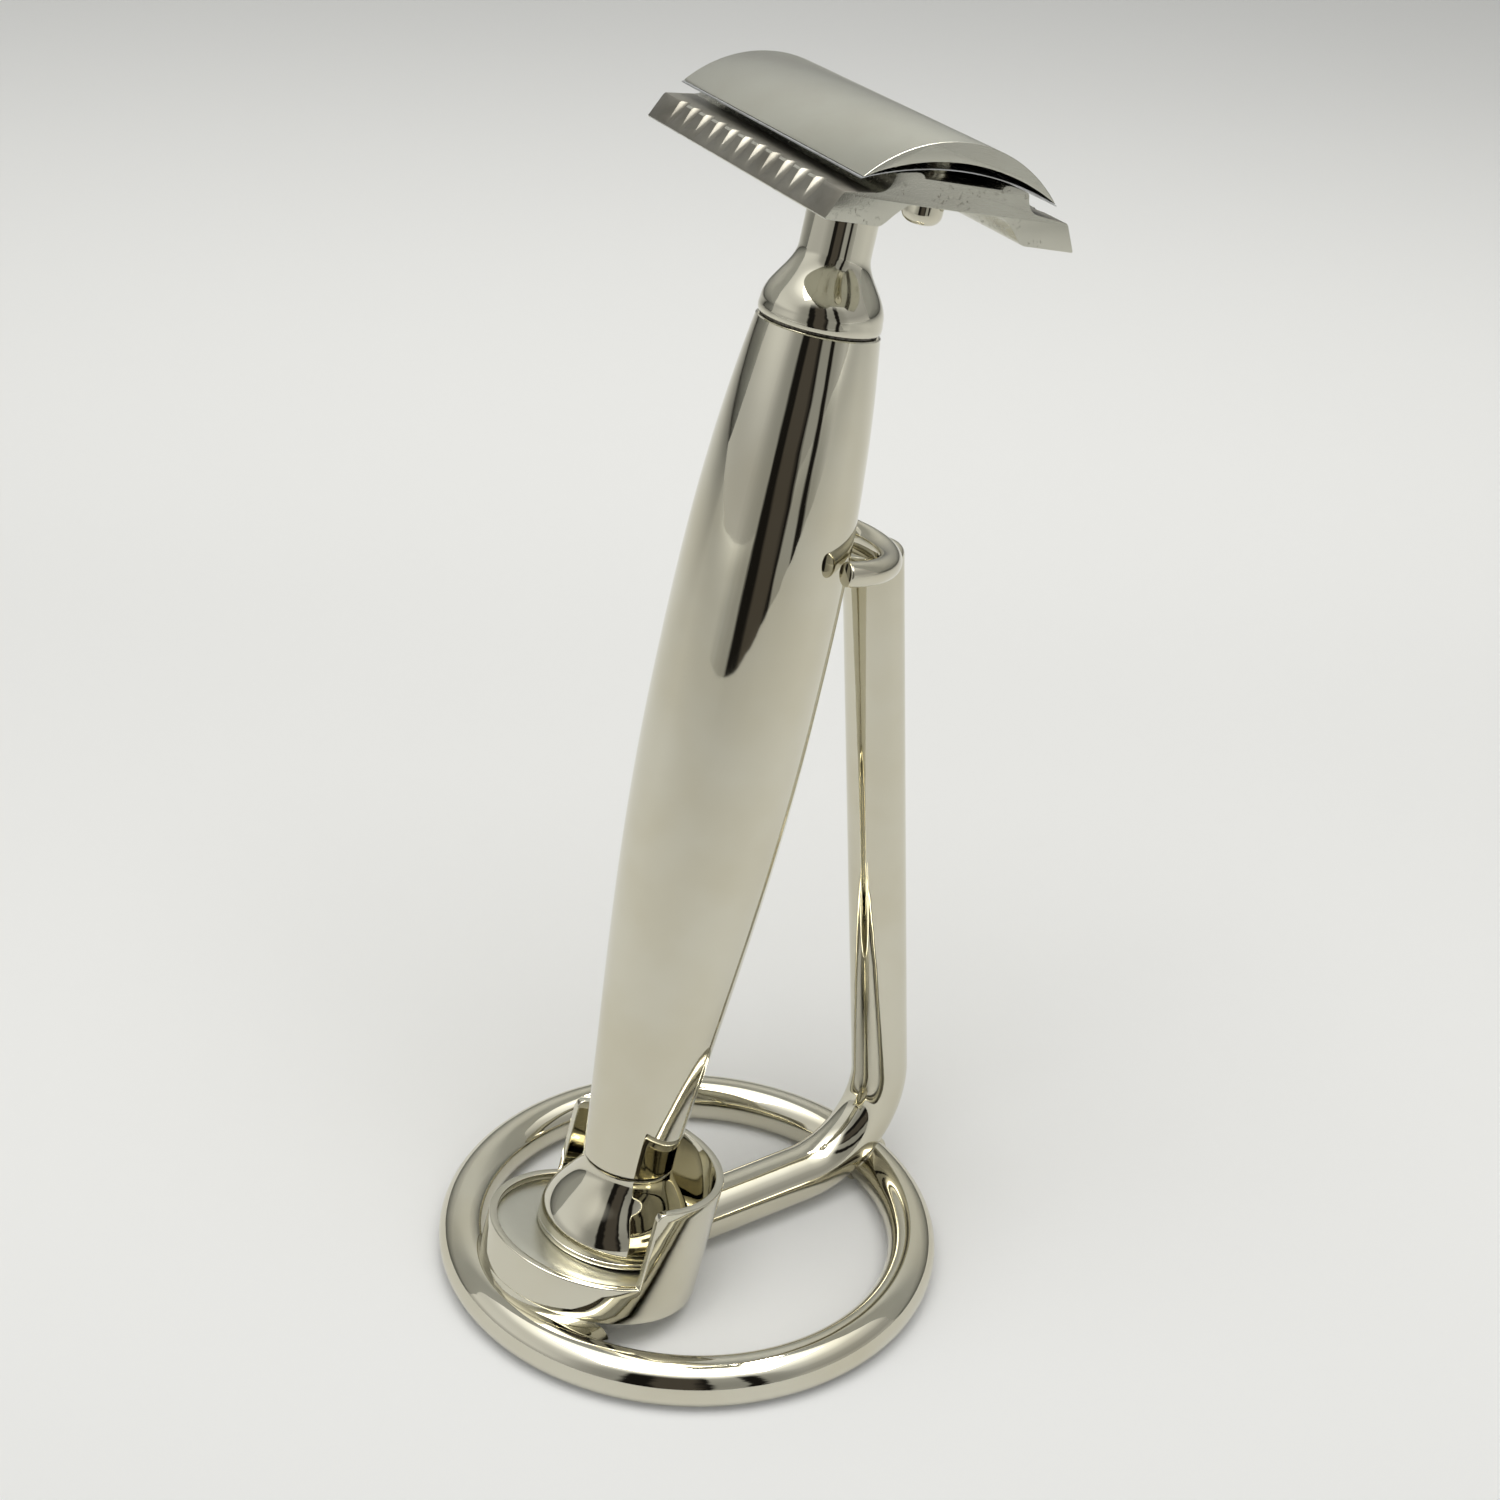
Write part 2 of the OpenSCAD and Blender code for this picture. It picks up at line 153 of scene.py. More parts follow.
class Shader:
    """A material or world under construction."""

    def __init__(self, tree: bpy.types.NodeTree) -> None:
        """Empties the tree.

        Args:
            tree: node tree of a material or a world.
        """
        self.tree = tree
        tree.nodes.clear()

    def node(
        self,
        kind: str,
        settings: Optional[Dict[str, object]] = None,
        feeds: Optional[Feeds] = None,
        output: Union[str, int] = 0,
    ) -> Wave:
        """Adds a node, sets it and feeds it.

        Args:
            kind: Blender's name of the node type.
            settings: attributes that are set first; "stops" fills a colour ramp.
            feeds: input name or number to a number, a colour or a Wave.
            output: the output that is returned.

        Returns:
            The chosen output.
        """
        made = self.tree.nodes.new(kind)
        for key, value in (settings or {}).items():
            if key == "stops":
                ramp = made.color_ramp
                while len(ramp.elements) < len(value):
                    ramp.elements.new(0.5)
                for stop, (place, colour) in zip(ramp.elements, value):
                    stop.position, stop.color = place, colour
            else:
                setattr(made, key, value)
        for key, value in (feeds or {}).items():
            if isinstance(value, Wave):
                self.tree.links.new(value.socket, made.inputs[key])
            else:
                made.inputs[key].default_value = value
        return Wave(self.tree, made.outputs[output] if made.outputs else made.inputs[0])

    def place_mm(self) -> Wave:
        """Returns the place on the piece in millimetres."""
        return self.stretched(self.node("ShaderNodeTexCoord", output="Object"), (1 / MM,) * 3)

    def noise(self, at: Wave, scale: float, detail: float = 3.0, rough: float = 0.5) -> Wave:
        """Adds a noise of 0 to 1.

        Args:
            at: the place that it is read at.
            scale: features per unit of the place.
            detail: number of finer layers.
            rough: strength of the finer layers.

        Returns:
            The noise value.
        """
        return self.node(
            "ShaderNodeTexNoise", feeds={"Vector": at, "Scale": scale, "Detail": detail, "Roughness": rough}
        )

    def blend(self, share: Feed, first: Feed, second: Feed) -> Wave:
        """Mixes two colours.

        Args:
            share: 0 for the first colour, 1 for the second.
            first: the colour at 0.
            second: the colour at 1.

        Returns:
            The mixed colour.
        """
        return self.node(
            "ShaderNodeMix", {"data_type": "RGBA"}, {0: share, 6: first, 7: second}, output=2
        )

    def part(self, vector: Wave, axis: str) -> Wave:
        """Returns the X, Y or Z part of a vector."""
        return self.node("ShaderNodeSeparateXYZ", feeds={0: vector}, output=axis)

    def along(self, vector: Wave, direction: Sequence[float]) -> Wave:
        """Returns how far a vector reaches along a direction."""
        feeds = {0: vector, 1: direction}
        return self.node("ShaderNodeVectorMath", {"operation": "DOT_PRODUCT"}, feeds, "Value")

    def stretched(self, at: Wave, scale: Sequence[float]) -> Wave:
        """Returns a place that is scaled apart on each axis, which draws a noise out into strokes."""
        return self.node("ShaderNodeMapping", feeds={"Vector": at, "Scale": scale})

    def bump(self, height: Wave, strength: float, distance_mm: float) -> Wave:
        """Returns a normal that is tilted by the height, for a bump of that depth in millimetres."""
        return self.node(
            "ShaderNodeBump", feeds={"Height": height, "Strength": strength, "Distance": distance_mm * MM}
        )


# ---------------------------------------------------------------- finishes


class Finish:
    """A finish that varies over the surface. Each kind says what feeds its Principled shader."""

    name: str

    def surface(self, s: Shader, at: Wave) -> Feeds:
        """Returns the inputs of the Principled shader.

        Args:
            s: the shader under construction.
            at: the place on the piece in millimetres.
        """
        raise NotImplementedError

    def build(self) -> bpy.types.Material:
        """Returns the finished material."""
        made = bpy.data.materials.new(self.name)
        made.use_nodes = True
        s = Shader(made.node_tree)
        principled = s.node("ShaderNodeBsdfPrincipled", feeds=self.surface(s, s.place_mm()))
        s.node("ShaderNodeOutputMaterial", feeds={"Surface": principled})
        return made


@dataclass(frozen=True)
class MirrorNickel(Finish):
    """Warm polished nickel plate: a mirror with faint haze, wiping marks and a soft unevenness."""

    name: str = "mirror_nickel"
    bright: Colour = (0.66, 0.635, 0.53, 1.0)
    warm: Colour = (0.62, 0.585, 0.465, 1.0)
    roughness: float = 0.035
    haze: float = 0.05
    wave: float = 0.05

    def surface(self, s: Shader, at: Wave) -> Feeds:
        """Returns the inputs of the Principled shader."""
        cloud = s.noise(at, 0.06, 3.0, 0.55)
        marks = s.noise(s.stretched(at, (1.0, 1.0, 0.16)), 1.9, 4.0, 0.65).band(0.56, 0.82)
        fine = s.noise(at, 4.5, 2.0, 0.5)
        ripple = s.noise(at, 0.22, 1.0, 0.4)
        return {
            "Base Color": s.blend(cloud.band(0.35, 0.7), self.bright, self.warm),
            "Metallic": 1.0,
            "Roughness": self.roughness + self.haze * marks * cloud + 0.012 * fine,
            "Normal": s.bump(ripple + 0.012 * fine, self.wave, 0.6),
        }


@dataclass(frozen=True)
class SatinNickel(Finish):
    """Nickel plate over a fine cast or blasted surface, with small pits where it is left as cast."""

    name: str = "satin_nickel"
    bright: Colour = (0.59, 0.585, 0.51, 1.0)
    dull: Colour = (0.555, 0.545, 0.468, 1.0)
    pit: Colour = (0.16, 0.14, 0.11, 1.0)
    roughness: float = 0.2
    grain: float = 0.16
    pitted: float = 0.0

    def surface(self, s: Shader, at: Wave) -> Feeds:
        """Returns the inputs of the Principled shader."""
        cloud = s.noise(at, 0.11, 4.0, 0.6)
        grain = s.noise(at, 7.0, 3.0, 0.6)
        stroke = s.noise(s.stretched(at, (5.0, 0.35, 5.0)), 1.6, 2.0)
        patch = s.noise(at, 0.36, 1.0).band(0.46, 0.6)
        pits = s.noise(at, 2.6, 3.0, 0.7).band(0.56, 0.66) * patch * self.pitted
        tone = s.blend(cloud.band(0.3, 0.75), self.bright, self.dull)
        return {
            "Base Color": s.blend(pits * 0.75, tone, self.pit),
            "Metallic": 1.0,
            "Roughness": self.roughness + 0.04 * cloud + 0.05 * grain + 0.2 * pits,
            "Normal": s.bump(grain * 0.5 + stroke * 0.25 - pits * 1.6, self.grain, 0.06),
        }


@dataclass(frozen=True)
class LinedMetal(Finish):
    """Metal with fine tool lines and soft stains: ground steel, unless the fields say otherwise."""

    name: str = "ground_steel"
    tint: Colour = (0.58, 0.59, 0.60, 1.0)
    stained: Colour = (0.44, 0.44, 0.43, 1.0)
    drawn: Tuple[float, float, float] = (9.0, 0.3, 9.0)
    fineness: float = 1.5
    stain: Tuple[float, float, float] = (0.3, 3.0, 0.5)
    edge: Tuple[float, float] = (0.4, 0.75)
    roughness: Tuple[float, float] = (0.2, 0.12)
    depth: Tuple[float, float] = (0.12, 0.03)

    def surface(self, s: Shader, at: Wave) -> Feeds:
        """Returns the inputs of the Principled shader."""
        lines = s.noise(s.stretched(at, self.drawn), self.fineness)
        return {
            "Base Color": s.blend(s.noise(at, *self.stain).band(*self.edge), self.tint, self.stained),
            "Metallic": 1.0,
            "Roughness": self.roughness[0] + self.roughness[1] * lines,
            "Normal": s.bump(lines, *self.depth),
        }


@dataclass(frozen=True)
class DullSeam(Finish):
    """Dark oxidised washer in a seam."""

    name: str = "dull_seam"
    tint: Colour = (0.19, 0.18, 0.16, 1.0)
    spotted: Colour = (0.06, 0.055, 0.05, 1.0)

    def surface(self, s: Shader, at: Wave) -> Feeds:
        """Returns the inputs of the Principled shader."""
        spots = s.noise(at, 1.8, 4.0, 0.65)
        return {
            "Base Color": s.blend(spots.band(0.4, 0.7), self.tint, self.spotted),
            "Metallic": 1.0,
            "Roughness": 0.38 + 0.2 * spots,
            "Normal": s.bump(spots, 0.15, 0.05),
        }


@dataclass(frozen=True)
class MattBlack(Finish):
    """Matt black plastic with a fine moulded grain and a little dust."""

    name: str = "matt_black"
    tint: Colour = (0.022, 0.022, 0.023, 1.0)
    dusty: Colour = (0.09, 0.088, 0.085, 1.0)

    def surface(self, s: Shader, at: Wave) -> Feeds:
        """Returns the inputs of the Principled shader."""
        grain = s.noise(at, 6.0, 3.0, 0.6)
        dust = s.noise(at, 0.7, 4.0, 0.7).band(0.55, 0.85)
        return {
            "Base Color": s.blend(dust * 0.35, self.tint, self.dusty),
            "Roughness": 0.55 + 0.2 * grain,
            "Normal": s.bump(grain, 0.3, 0.05),
        }


@dataclass(frozen=True)
class PaleSweep(Finish):
    """Pale seamless paper with painted shade: its colour darkens towards the back, where less light falls.
    """

    name: str = "pale_sweep"
    near: Colour = (0.915, 0.92, 0.912, 1.0)
    # far: the paper's colour under painted shade, not a darker paper
    far: Colour = (0.575, 0.581, 0.575, 1.0)

    def surface(self, s: Shader, at: Wave) -> Feeds:
        """Returns the inputs of the Principled shader."""
        cloud = s.noise(at, 0.004, 3.0, 0.5)
        tooth = s.noise(at, 0.9, 2.0, 0.5)
        back = s.along(at, BACKWARD)
        # painted shade: the colour darkens with distance towards the back, in place of the light that falls
        # off there
        depth = 0.42 * back.band(-40.0, 190.0) + 0.53 * back.band(170.0, 760.0)
        return {
            "Base Color": s.blend(depth + cloud * 0.05, self.near, self.far),
            "Roughness": 0.62 + 0.1 * tooth,
            "Specular IOR Level": 0.25,
            "Normal": s.bump(tooth, 0.02, 0.05),
        }


@dataclass(frozen=True)
class PaintedReflectionCard(Finish):
    """Glowing card, seen only as a reflection in polished metal: its grey glow and its dark and brown
    uprights are painted reflections of dark shapes in front of the object.
    """

    name: str = "painted_reflection_card"
    black: Colour = (0.012, 0.011, 0.010, 1.0)
    brown: Colour = (0.10, 0.088, 0.075, 1.0)
    grey: Colour = (0.30, 0.30, 0.285, 1.0)

    def surface(self, s: Shader, at: Wave) -> Feeds:
        """Returns the inputs of the Principled shader."""
        across = s.part(at, "X") + 70.0 * (s.noise(at, 0.011, 3.0, 0.5) - 0.5)
        high = s.part(at, "Z") + 90.0 * (s.noise(at, 0.007, 2.0, 0.5) - 0.5)
        middle = across.band(-200.0, -165.0) * (1.0 - across.band(90.0, 115.0))
        core = across.band(-100.0, -60.0) * (1.0 - across.band(40.0, 90.0))
        right = across.band(215.0, 240.0) * (1.0 - across.band(290.0, 325.0))
        left_fade = across.band(-560.0, -190.0)
        right_fade = 1.0 - across.band(330.0, 600.0)
        top_fade = 1.0 - high.band(430.0, 700.0)
        # painted reflection: dark and brown uprights on a grey glow, seen only in the metal
        dark = s.blend(core * 0.8, self.black, self.brown)
        colour = s.blend(middle + right, self.grey, dark)
        veil = 0.76 * left_fade * right_fade + (middle + right)
        return {
            "Base Color": (0.0, 0.0, 0.0, 1.0),
            "Roughness": 1.0,
            "Specular IOR Level": 0.0,
            # the card glows though it is no lamp, so what the metal shows of it is a painted reflection
            "Emission Color": colour,
            "Emission Strength": 1.0,
            "Alpha": s.node("ShaderNodeMath", {"operation": "MINIMUM"}, {0: veil, 1: 1.0}) * top_fade,
        }


# ---------------------------------------------------------------- bench: hand tools


class Bench:
    """The hand tools that every piece is made with. Sizes are in millimetres."""

    @staticmethod
    def clear() -> None:
        """Leaves edit mode and deselects everything."""
        if bpy.context.object is not None and bpy.context.object.mode != "OBJECT":
            bpy.ops.object.mode_set(mode="OBJECT")
        bpy.ops.object.select_all(action="DESELECT")

    @staticmethod
    def grab(obj: bpy.types.Object) -> None:
        """Makes one object the only selected one and the active one."""
        Bench.clear()
        obj.select_set(True)
        bpy.context.view_layer.objects.active = obj

    @staticmethod
    def start(name: str) -> bpy.types.Object:
        """Names the primitive that was just added, settles its place and opens it for editing.

        Args:
            name: name of the new piece.

        Returns:
            The new object, in edit mode with everything selected.
        """
        obj = bpy.context.object
        obj.name = name
        obj.data.name = name
        bpy.ops.object.transform_apply(location=True, rotation=True, scale=True)
        bpy.ops.object.mode_set(mode="EDIT")
        bpy.ops.mesh.select_all(action="SELECT")
        return obj

    @staticmethod
    def pick(obj: bpy.types.Object, kind: str, test: Callable[[Vector], bool]) -> int:
        """Selects the vertices, edges or faces whose middle passes a test.

        Args:
            obj: the mesh object, which is left in edit mode.
            kind: VERT, EDGE or FACE.
            test: called with the middle in millimetres.

        Returns:
            The number that was selected.
        """
        bpy.ops.mesh.select_mode(type=kind)
        bpy.ops.mesh.select_all(action="DESELECT")
        bpy.ops.object.mode_set(mode="OBJECT")
        mesh = obj.data
        parts = {"VERT": mesh.vertices, "EDGE": mesh.edges, "FACE": mesh.polygons}[kind]
        count = 0
        for part in parts:
            if kind == "VERT":
                middle = part.co
            elif kind == "FACE":
                middle = part.center
            else:
                middle = (mesh.vertices[part.vertices[0]].co + mesh.vertices[part.vertices[1]].co) / 2
            part.select = test(middle / MM)
            count += part.select
        bpy.ops.object.mode_set(mode="EDIT")
        return count

    @staticmethod
    def extrude(dx: float, dy: float, dz: float) -> None:
        """Extrudes the selection and moves it by an offset in millimetres."""
        bpy.ops.mesh.extrude_region_move(TRANSFORM_OT_translate={"value": (dx * MM, dy * MM, dz * MM)})

    @staticmethod
    def resize(factor: Tuple[float, float, float], centre: Vector) -> None:
        """Scales the selection about a centre in millimetres."""
        bpy.ops.transform.resize(value=factor, center_override=tuple(centre * MM))

    @staticmethod
    def seal() -> None:
        """Merges doubled points and turns every face outwards, then leaves edit mode."""
        bpy.ops.mesh.select_mode(type="VERT")
        bpy.ops.mesh.select_all(action="SELECT")
        bpy.ops.mesh.remove_doubles(threshold=2.2 * POLE_R * MM)
        bpy.ops.mesh.normals_make_consistent(inside=False)
        bpy.ops.object.mode_set(mode="OBJECT")

    @staticmethod
    def turned(name: str, profile: Outline, around: int = 160) -> bpy.types.Object:
        """Turns a piece on the Z axis, as on a lathe, by extruding and resizing one circle.

        Args:
            name: name of the piece.
            profile: radius and height of each ring. A radius of 0 closes on a pole, and a last
                ring that equals the first closes a hollow piece.
            around: number of corners round the axis.

        Returns:
            The closed piece.
        """
        Bench.clear()
        radius, height = max(profile[0][0], POLE_R), profile[0][1]
        bpy.ops.mesh.primitive_circle_add(vertices=around, radius=radius * MM, location=(0, 0, height * MM))
        obj = Bench.start(name)
        for wide, high in profile[1:]:
            Bench.extrude(0, 0, high - height)
            factor = max(wide, POLE_R) / radius
            Bench.resize((factor, factor, 1.0), Vector((0, 0, high)))
            radius, height = radius * factor, high
        Bench.seal()
        return obj

    @staticmethod
    def slab(name: str, outline: Outline, length: float) -> bpy.types.Object:
        """Extrudes a flat outline in the XZ plane along Y.

        Args:
            name: name of the piece.
            outline: x and z of each corner in order.
            length: length along Y, half to each side.

        Returns:
            The closed piece.
        """
        Bench.clear()
        bpy.ops.mesh.primitive_circle_add(vertices=len(outline), radius=MM, fill_type="NGON")
        obj = bpy.context.object
        for corner, (x, z) in zip(obj.data.vertices, outline):
            corner.co = (x * MM, -length / 2 * MM, z * MM)
        Bench.start(name)
        Bench.extrude(0, length, 0)
        Bench.seal()
        return obj

    @staticmethod
    def modify(obj: bpy.types.Object, kind: str, **settings: object) -> None:
        """Adds a modifier, sets it and applies it.

        Args:
            obj: the piece.
            kind: Blender's name of the modifier type.
            settings: the modifier's attributes.
        """
        Bench.grab(obj)
        made = obj.modifiers.new(kind.lower(), kind)
        for key, value in settings.items():
            setattr(made, key, value)
        bpy.ops.object.modifier_apply(modifier=made.name)

    @staticmethod
    def soften(obj: bpy.types.Object, width: float, segments: int = 3, angle: float = 40.0) -> None:
        """Rounds the edges of a piece.

        Args:
            obj: the piece.
            width: width of the rounding in millimetres.
            segments: number of faces across the rounding.
            angle: smallest angle in degrees of an edge that is rounded.
        """
        Bench.modify(
            obj, "BEVEL", width=width * MM, segments=segments, limit_method="ANGLE",
            angle_limit=math.radians(angle), use_clamp_overlap=True, harden_normals=False,
        )

    @staticmethod
    def combine(obj: bpy.types.Object, tool: bpy.types.Object, how: str) -> None:
        """Cuts a tool from a piece or joins it to the piece, and takes the tool away.

        Args:
            obj: the piece.
            tool: the other solid.
            how: DIFFERENCE or UNION.
        """
        Bench.modify(obj, "BOOLEAN", object=tool, operation=how, solver="EXACT")
        bpy.data.objects.remove(tool, do_unlink=True)

    @staticmethod
    def place(obj: bpy.types.Object, where: Matrix) -> None:
        """Moves a piece to its place and settles the place in its mesh."""
        Bench.grab(obj)
        obj.matrix_world = where
        bpy.ops.object.transform_apply(location=True, rotation=True, scale=True)

    @staticmethod
    def copies(obj: bpy.types.Object, places: Sequence[Matrix]) -> bpy.types.Object:
        """Copies a piece to several places and joins the copies into one object.

        Args:
            obj: the piece, which becomes the first copy.
            places: where each copy goes.

        Returns:
            The joined object.
        """
        made = []
        for where in places[1:]:
            twin = obj.copy()
            twin.data = obj.data.copy()
            bpy.context.collection.objects.link(twin)
            Bench.place(twin, where)
            made.append(twin)
        Bench.place(obj, places[0])
        Bench.grab(obj)
        for twin in made:
            twin.select_set(True)
        if made:
            bpy.ops.object.join()
        return obj

    @staticmethod
    def bead(name: str, points: Sequence[Vector], radius: float) -> bpy.types.Object:
        """Lays a closed round bead along points.

        Args:
            name: name of the bead.
            points: the points in millimetres.
            radius: radius of the bead.

        Returns:
            The bead as a mesh.
        """
        Bench.clear()
        curve = bpy.data.curves.new(name, "CURVE")
        curve.dimensions = "3D"
        curve.bevel_depth = radius * MM
        curve.bevel_resolution = 6
        line = curve.splines.new("POLY")
        line.points.add(len(points) - 1)
        for spot, point in zip(line.points, points):
            spot.co = (*(point * MM), 1.0)
        line.use_cyclic_u = True
        obj = bpy.data.objects.new(name, curve)
        bpy.context.collection.objects.link(obj)
        Bench.grab(obj)
        bpy.ops.object.convert(target="MESH")
        return bpy.context.object

    @staticmethod
    def settle(obj: bpy.types.Object, where: Matrix, *looks: object) -> None:
        """Moves a piece to its place and dresses it.

        Args:
            obj: the piece.
            where: its place.
            looks: what dress() takes after the piece.
        """
        Bench.place(obj, where)
        Bench.dress(obj, *looks)

    @staticmethod
    def dress(
        obj: bpy.types.Object, finish: bpy.types.Material, body: Body, slot: Slot,
        nodes: Sequence[str] = (), smooth: float = 32.0,
    ) -> None:
        """Gives a piece its finish and its body, and hides the CAD nodes that it stands for.

        Args:
            obj: the piece.
            finish: its material.
            body: the body that it rides on.
            slot: the record's material slot; not used.
            nodes: the CAD nodes that it replaces.
            smooth: angle in degrees under which edges look smooth.
        """
        Bench.grab(obj)
        obj.data.materials.clear()
        obj.data.materials.append(finish)
        bpy.ops.object.shade_smooth_by_angle(angle=math.radians(smooth))
        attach(obj, body.value)
        if nodes:
            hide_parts(*nodes)
        LOG.info("%s: %d faces, rides on %s", obj.name, len(obj.data.polygons), body.value)


def moved(x: float, y: float, z: float) -> Matrix:
    """Returns a shift in millimetres as a matrix."""
    return Matrix.Translation(Vector((x, y, z)) * MM)


def half_cosine(share: float) -> float:
    """Returns a smooth fall from 1 at share 0 to 0 at share 1."""
    return (1 + math.cos(math.pi * share)) / 2


def arc(radius: float, half: float, rise: float, steps: int) -> Outline:
    """Points of a circle arc over a chord.

    Args:
        radius: radius of the arc.
        half: half of the chord.
        rise: height of the chord's ends.
        steps: number of steps.

    Returns:
        Points from left to right.
    """
    reach = math.asin(half / radius)
    drop = radius * math.cos(reach)
    made = []
    for step in range(steps + 1):
        turn = -reach + 2 * reach * step / steps
        made.append((radius * math.sin(turn), rise + radius * math.cos(turn) - drop))
    return made


# ---------------------------------------------------------------- finishes in use


def later(finish: Finish) -> bpy.types.Material:
    """Returns a dataclass field that holds a finish's material once its owner is made."""
    return field(default_factory=finish.build)


@dataclass
class Finishes:
    """Every finish, built once."""

    mirror: bpy.types.Material = later(MirrorNickel())
    handle: bpy.types.Material = later(MirrorNickel("mirror_nickel_handle", wave=0.03, roughness=0.03))
    cup_floor: bpy.types.Material = later(SatinNickel("fine_satin_nickel", roughness=0.24, grain=0.08))
    cap: bpy.types.Material = later(SatinNickel("silk_nickel", roughness=0.19))
    guard: bpy.types.Material = later(SatinNickel("cast_nickel", roughness=0.16, grain=0.3, pitted=1.0))
    # rougher nickel for the scallop walls, as left from casting; its much darker colour is painted shade in
    # the grooves
    shaded_groove: bpy.types.Material = later(SatinNickel(
        "shaded_groove_nickel", (0.26, 0.25, 0.215, 1.0), (0.16, 0.15, 0.125, 1.0), roughness=0.36, grain=0.35
    ))
    blade: bpy.types.Material = later(LinedMetal())
    seam: bpy.types.Material = later(DullSeam())
    plug: bpy.types.Material = later(MattBlack())
    brass: bpy.types.Material = later(LinedMetal(
        "turned_brass", (0.62, 0.46, 0.2, 1.0), (0.36, 0.24, 0.1, 1.0), (0.3, 0.3, 7.0), 1.3,
        (0.35, 4.0, 0.6), (0.45, 0.8), (0.24, 0.16), (0.2, 0.05),
    ))


# ---------------------------------------------------------------- the stand


def plate_stand(
    obj: bpy.types.Object, finishes: Finishes, nodes: Sequence[str], smooth: float = 32.0
) -> None:
    """Gives a piece of the stand its mirror finish, for the CAD nodes that it replaces."""
    Bench.dress(obj, finishes.mirror, Body.STAND, Slot.POLISHED, nodes, smooth)


@dataclass
class WireStand:
    """The ring, the bent rod with its post, the filler beads and the cradle."""

    finishes: Finishes
    ring_r: float = 26.8
    wire_r: float = 2.8
    ring_z: float = 2.65
    rod_r: float = 3.4
    spoke_z: float = 4.3
    spoke_x: float = -3.0
    bend_r: float = 11.4
    post_x: float = 29.6
    lean: float = math.radians(6.6)
    post_top: float = 87.5
    edge_r: float = 0.9
    fork_r: float = 10.0
    fork_wire_r: float = 1.35
    fork_half: float = math.radians(97)
    fork_s: float = 92.8
    fork_shift: float = 3.86
    bead_r: float = 0.45
    bead_sunk: float = 0.05

    def __post_init__(self) -> None:
        """Works out the centre of the bend and the length of the post."""
        turn = math.pi / 2 + self.lean
        corner = self.post_x - math.tan(self.lean) * self.spoke_z
        self.turn = turn
        self.centre = Vector((corner - self.bend_r * math.tan(turn / 2), 0, self.spoke_z + self.bend_r))
        along = Vector((math.cos(self.lean), 0, math.sin(self.lean)))
        self.post_foot = self.centre + along * self.bend_r
        self.up = Vector((-math.sin(self.lean), 0, math.cos(self.lean)))
        self.post_len = (self.post_top - self.post_foot.z) / math.cos(self.lean)

    def ring(self) -> None:
        """Makes the wire ring, flattened where it rests on the table."""
        Bench.clear()
        bpy.ops.mesh.primitive_torus_add(
            major_segments=288, minor_segments=72, major_radius=self.ring_r * MM,
            minor_radius=self.wire_r * MM, location=(0, 0, self.ring_z * MM),
        )
        obj = Bench.start("ring")
        Bench.pick(obj, "VERT", lambda middle: middle.z < 0)
        Bench.resize((1, 1, 0), Vector((0, 0, 0)))
        Bench.seal()
        plate_stand(obj, self.finishes, ["ring_base"])

    def rod(self) -> None:
        """Makes the spoke, the bend and the post as one bar with a rounded top edge."""
        Bench.clear()
        bpy.ops.mesh.primitive_circle_add(
            vertices=96, radius=self.rod_r * MM, fill_type="NGON",
            location=(self.spoke_x * MM, 0, self.spoke_z * MM), rotation=(0, math.pi / 2, 0),
        )
        obj = Bench.start("bent_rod")
        steps = 10
        for _ in range(steps):
            Bench.extrude((self.centre.x - self.spoke_x) / steps, 0, 0)
        bpy.ops.mesh.spin(
            steps=56, angle=self.turn, center=tuple(self.centre * MM), axis=(0, 1, 0), dupli=False
        )
        steps = 16
        rise = self.up * ((self.post_len - self.edge_r) / steps)
        for _ in range(steps):
            Bench.extrude(rise.x, 0, rise.z)
        radius, level, steps = self.rod_r, 0.0, 8
        for step in range(1, steps + 1):
            angle = math.pi / 2 * step / steps
            wide = self.rod_r - self.edge_r * (1 - math.cos(angle))
            high = self.edge_r * math.sin(angle)
            shift = self.up * (high - level)
            Bench.extrude(shift.x, 0, shift.z)
            factor = wide / radius
            middle = self.post_foot + self.up * (self.post_len - self.edge_r + high)
            Bench.resize((factor,) * 3, middle)
            radius, level = wide, high
        Bench.seal()
        plate_stand(obj, self.finishes, ["support_rod"])

    def rod_distance(self, point: Vector) -> float:
        """Returns how far a point is from the bent rod's axis, in millimetres."""
        out = point - self.centre
        flat = Vector((out.x, 0, out.z))
        angle = math.atan2(flat.z, flat.x)
        if -math.pi / 2 <= angle <= self.lean:
            near = self.centre + flat.normalized() * self.bend_r
        elif angle > self.lean:
            near = self.post_foot + self.up * max(0.0, (point - self.post_foot).dot(self.up))
        else:
            near = Vector((point.x, 0, self.spoke_z))
        return (point - near).length

    def joint_line(self, side: int, reach: float) -> List[Vector]:
        """Follows the line where the ring's wire enters the rod.

        Args:
            side: 1 for the +Y half of the ring, -1 for the other half.
            reach: distance from the rod's axis that the line keeps.

        Returns:
            Points in order round the wire.
        """
        made = []
        steps, tries, lowest = 72, 40, 0.52
        for step in range(steps):
            round_wire = 2 * math.pi * step / steps
            out = self.ring_r + self.wire_r * math.cos(round_wire)
            height = self.ring_z + self.wire_r * math.sin(round_wire)
            near, far = 0.0, 0.6
            for _ in range(tries):
                middle = (near + far) / 2
                spot = Vector((out * math.cos(middle), side * out * math.sin(middle), height))
                if self.rod_distance(spot) < reach:
                    near = middle
                else:
                    far = middle
            made.append(Vector((out * math.cos(near), side * out * math.sin(near), max(height, lowest))))
        return made

